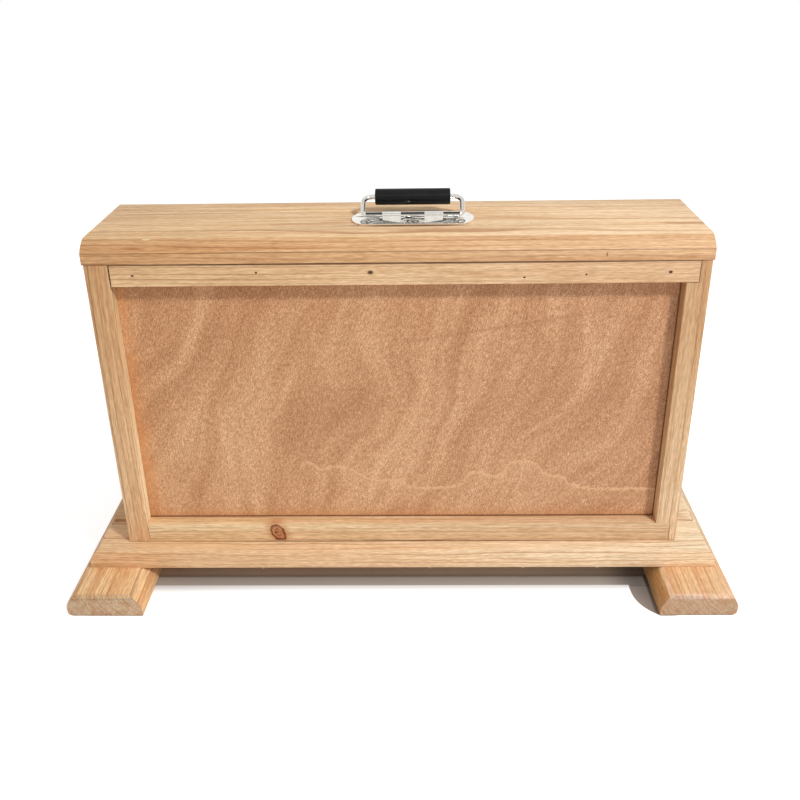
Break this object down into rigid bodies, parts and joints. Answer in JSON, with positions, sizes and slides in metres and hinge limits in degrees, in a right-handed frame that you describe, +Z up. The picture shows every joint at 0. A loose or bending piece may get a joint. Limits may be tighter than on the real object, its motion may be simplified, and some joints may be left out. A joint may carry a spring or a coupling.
{
  "type": "observation hive",
  "caption": "Slim observation hive with glass walls behind lift-out plywood shutters, a lift-off lid with a folding carrying handle, hook latches, feet and a turning entrance disc.",
  "frame": {"origin": "on the floor, under the middle of the feet", "axes": "+X along the hive to the right of its front, +Y to the back, +Z up"},
  "size_m": [0.596, 0.234, 0.3492],
  "materials": {
    "foot_wood": "bare planed softwood, oiled, grain front to back",
    "base_wood": "bare planed softwood, grain along the hive",
    "end_wood": "bare planed softwood, upright grain",
    "trim_wood": "bare planed softwood, grain along the hive",
    "lid_wood": "bare planed softwood, grain along the hive",
    "dowel_wood": "turned beech",
    "frame_wood": "planed pine",
    "plywood": "sanded reddish plywood",
    "glass": "clear float glass",
    "zinc_steel": "zinc plated",
    "brad_steel": "dull, slightly rusted",
    "screen_steel": "perforated sheet",
    "wire_steel": "tinned wire",
    "stainless": "polished stainless steel",
    "grip_rubber": "smooth black rubber",
    "wax": "beeswax sheet"
  },
  "bodies": {
    "hive_body": {"left_foot": "foot_wood", "right_foot": "foot_wood", "base_board": "base_wood", "left_end_board": "end_wood", "right_end_board": "end_wood", "front_rail": "trim_wood", "rear_rail": "trim_wood", "front_glass": "glass", "rear_glass": "glass", "lid_dowels": "dowel_wood", "foot_screws": "zinc_steel", "end_board_screws": "zinc_steel", "rail_screws": "zinc_steel", "left_vent_screen": "screen_steel", "right_vent_screen": "screen_steel", "vent_screws": "zinc_steel", "entrance_pivot": "zinc_steel", "left_stud": "zinc_steel", "right_stud": "zinc_steel"},
    "lid": {"lid_board": "lid_wood", "handle_plate": "stainless", "handle_screws": "stainless", "left_hook_pivot": "zinc_steel", "right_hook_pivot": "zinc_steel"},
    "handle": {"handle_bail": "stainless", "handle_grip": "grip_rubber"},
    "left_latch": {"left_hook": "zinc_steel"},
    "right_latch": {"right_hook": "zinc_steel"},
    "front_shutter": {"front_shutter_panel": "plywood", "front_shutter_strip": "trim_wood", "front_shutter_brads": "brad_steel"},
    "rear_shutter": {"rear_shutter_panel": "plywood", "rear_shutter_strip": "trim_wood", "rear_shutter_brads": "brad_steel"},
    "comb_frame": {"top_bar": "frame_wood", "bottom_bar": "frame_wood", "left_side_bar": "frame_wood", "right_side_bar": "frame_wood", "foundation": "wax", "frame_wires": "wire_steel", "frame_nails": "zinc_steel"},
    "entrance": {"entrance_disc": "zinc_steel"}
  },
  "joints": [
    {"name": "lid_lift", "type": "slide", "parent": "hive_body", "child": "lid", "axis": [0, 0, 1], "range_m": [0, 0.32]},
    {"name": "handle_swing", "type": "hinge", "parent": "lid", "child": "handle", "pos_m": [0.0134, 0, 0.3316], "axis": [1, 0, 0], "range_deg": [-18, 138]},
    {"name": "left_hook_swing", "type": "hinge", "parent": "lid", "child": "left_latch", "pos_m": [-0.2553, 0, 0.318], "axis": [1, 0, 0], "range_deg": [-90, 25]},
    {"name": "right_hook_swing", "type": "hinge", "parent": "lid", "child": "right_latch", "pos_m": [0.2553, 0, 0.318], "axis": [1, 0, 0], "range_deg": [-90, 25]},
    {"name": "front_shutter_lift", "type": "slide", "parent": "hive_body", "child": "front_shutter", "axis": [0, 0, 1], "range_m": [0, 0.256]},
    {"name": "rear_shutter_lift", "type": "slide", "parent": "hive_body", "child": "rear_shutter", "axis": [0, 0, 1], "range_m": [0, 0.256]},
    {"name": "comb_frame_lift", "type": "slide", "parent": "hive_body", "child": "comb_frame", "axis": [0, 0, 1], "range_m": [0, 0.24]},
    {"name": "entrance_turn", "type": "hinge", "parent": "hive_body", "child": "entrance", "pos_m": [-0.25355, 0, 0.071], "axis": [1, 0, 0], "range_deg": [-90, 90]}
  ],
  "couplings": [
    {"joint": "front_shutter_lift", "follows": "lid_lift", "ratio": 0.8},
    {"joint": "rear_shutter_lift", "follows": "lid_lift", "ratio": 0.8},
    {"joint": "comb_frame_lift", "follows": "lid_lift", "ratio": 0.75}
  ]
}
